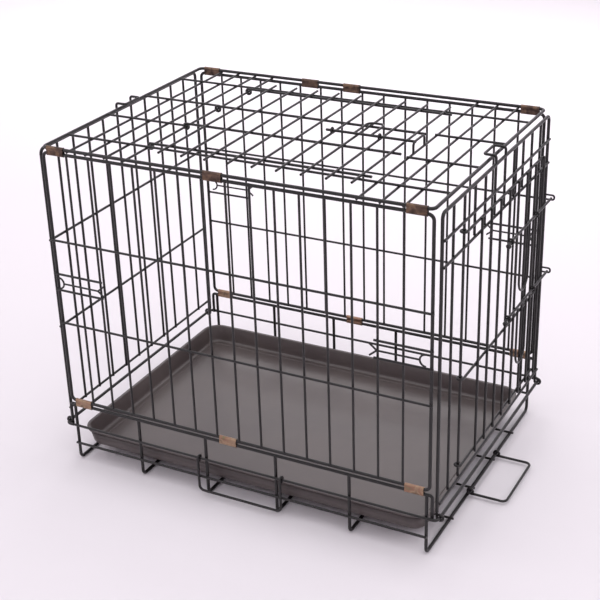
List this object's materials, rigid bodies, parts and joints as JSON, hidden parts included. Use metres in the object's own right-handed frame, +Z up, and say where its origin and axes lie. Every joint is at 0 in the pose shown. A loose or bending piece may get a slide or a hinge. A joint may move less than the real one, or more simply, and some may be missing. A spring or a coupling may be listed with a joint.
{
  "type": "folding wire dog crate",
  "caption": "Folding black wire dog crate with an end door, a top door, slide bolts, corner latches and a pull-out plastic tray.",
  "frame": {"origin": "floor level, below the middle of the whole crate's box", "axes": "+X towards the door end, +Y towards the back, +Z up"},
  "size_m": [0.6966, 0.4626, 0.5508],
  "materials": {
    "coated_wire": "satin",
    "hinge_clips": "satin",
    "tray_plastic": "satin"
  },
  "bodies": {
    "base": {"base_floor_runs": "coated_wire", "base_stringers": "coated_wire", "base_front": "coated_wire", "base_back": "coated_wire", "end_bar_right": "coated_wire", "end_bar_left": "coated_wire", "front_bottom_clips": "hinge_clips", "back_bottom_clips": "hinge_clips"},
    "back_panel": {"back_panel": "coated_wire"},
    "top_panel": {"top_panel": "coated_wire", "front_top_clips": "hinge_clips", "back_top_clips": "hinge_clips"},
    "front_panel": {"front_panel": "coated_wire"},
    "right_end_panel": {"right_end_panel": "coated_wire"},
    "left_end_panel": {"left_end_panel": "coated_wire"},
    "end_door": {"end_door": "coated_wire"},
    "lower_bolt": {"lower_bolt": "coated_wire"},
    "upper_bolt": {"upper_bolt": "coated_wire"},
    "top_door": {"top_door": "coated_wire"},
    "top_bolt": {"top_bolt": "coated_wire"},
    "tray": {"tray": "tray_plastic"},
    "tray_stop": {"tray_stop": "coated_wire"},
    "carry_handle": {"carry_handle": "coated_wire"},
    "latch_front_right": {"latch_front_right": "coated_wire"},
    "latch_front_left": {"latch_front_left": "coated_wire"},
    "latch_back_right": {"latch_back_right": "coated_wire"},
    "latch_back_left": {"latch_back_left": "coated_wire"}
  },
  "joints": [
    {"name": "back_fold", "type": "hinge", "parent": "base", "child": "back_panel", "pos_m": [-0.01965, 0.2239, 0.1101], "axis": [1, 0, 0], "range_deg": [-80, 0]},
    {"name": "top_fold", "type": "hinge", "parent": "back_panel", "child": "top_panel", "pos_m": [-0.01965, 0.2239, 0.5274], "axis": [1, 0, 0], "range_deg": [0, 80]},
    {"name": "front_fold", "type": "hinge", "parent": "base", "child": "front_panel", "pos_m": [-0.01965, -0.2211, 0.1101], "axis": [1, 0, 0], "range_deg": [-80, 0]},
    {"name": "right_end_fold", "type": "hinge", "parent": "base", "child": "right_end_panel", "pos_m": [0.30225, 0.0014, 0.065], "axis": [0, 1, 0], "range_deg": [-86, 0]},
    {"name": "left_end_fold", "type": "hinge", "parent": "base", "child": "left_end_panel", "pos_m": [-0.34155, 0.0014, 0.065], "axis": [0, -1, 0], "range_deg": [-90, 0]},
    {"name": "end_door_hinge", "type": "hinge", "parent": "right_end_panel", "child": "end_door", "pos_m": [0.29745, -0.13637, 0.29], "axis": [0, 0, -1], "range_deg": [0, 110]},
    {"name": "lower_bolt_slide", "type": "slide", "parent": "end_door", "child": "lower_bolt", "axis": [0, -1, 0], "range_m": [-0.008, 0.03]},
    {"name": "upper_bolt_slide", "type": "slide", "parent": "end_door", "child": "upper_bolt", "axis": [0, -1, 0], "range_m": [-0.008, 0.03]},
    {"name": "top_door_hinge", "type": "hinge", "parent": "top_panel", "child": "top_door", "pos_m": [-0.18665, 0.0014, 0.532], "axis": [0, -1, 0], "range_deg": [0, 135]},
    {"name": "top_bolt_slide", "type": "slide", "parent": "top_door", "child": "top_bolt", "axis": [-1, 0, 0], "range_m": [-0.01, 0.02]},
    {"name": "tray_slide", "type": "slide", "parent": "base", "child": "tray", "axis": [1, 0, 0], "range_m": [0, 0.4]},
    {"name": "tray_stop_hinge", "type": "hinge", "parent": "base", "child": "tray_stop", "pos_m": [0.28935, 0.0014, 0.01022], "axis": [0, 1, 0], "range_deg": [-72, 0]},
    {"name": "carry_handle_hinge", "type": "hinge", "parent": "base", "child": "carry_handle", "pos_m": [-0.01965, -0.225, 0.065], "axis": [-1, 0, 0], "range_deg": [0, 95]},
    {"name": "latch_front_right_slide", "type": "slide", "parent": "front_panel", "child": "latch_front_right", "axis": [-1, 0, 0], "range_m": [0, 0.018]},
    {"name": "latch_front_left_slide", "type": "slide", "parent": "front_panel", "child": "latch_front_left", "axis": [1, 0, 0], "range_m": [0, 0.018]},
    {"name": "latch_back_right_slide", "type": "slide", "parent": "back_panel", "child": "latch_back_right", "axis": [-1, 0, 0], "range_m": [0, 0.018]},
    {"name": "latch_back_left_slide", "type": "slide", "parent": "back_panel", "child": "latch_back_left", "axis": [1, 0, 0], "range_m": [0, 0.018]}
  ],
  "couplings": [
    {"joint": "top_fold", "follows": "back_fold", "ratio": -1},
    {"joint": "front_fold", "follows": "back_fold", "ratio": 1}
  ]
}
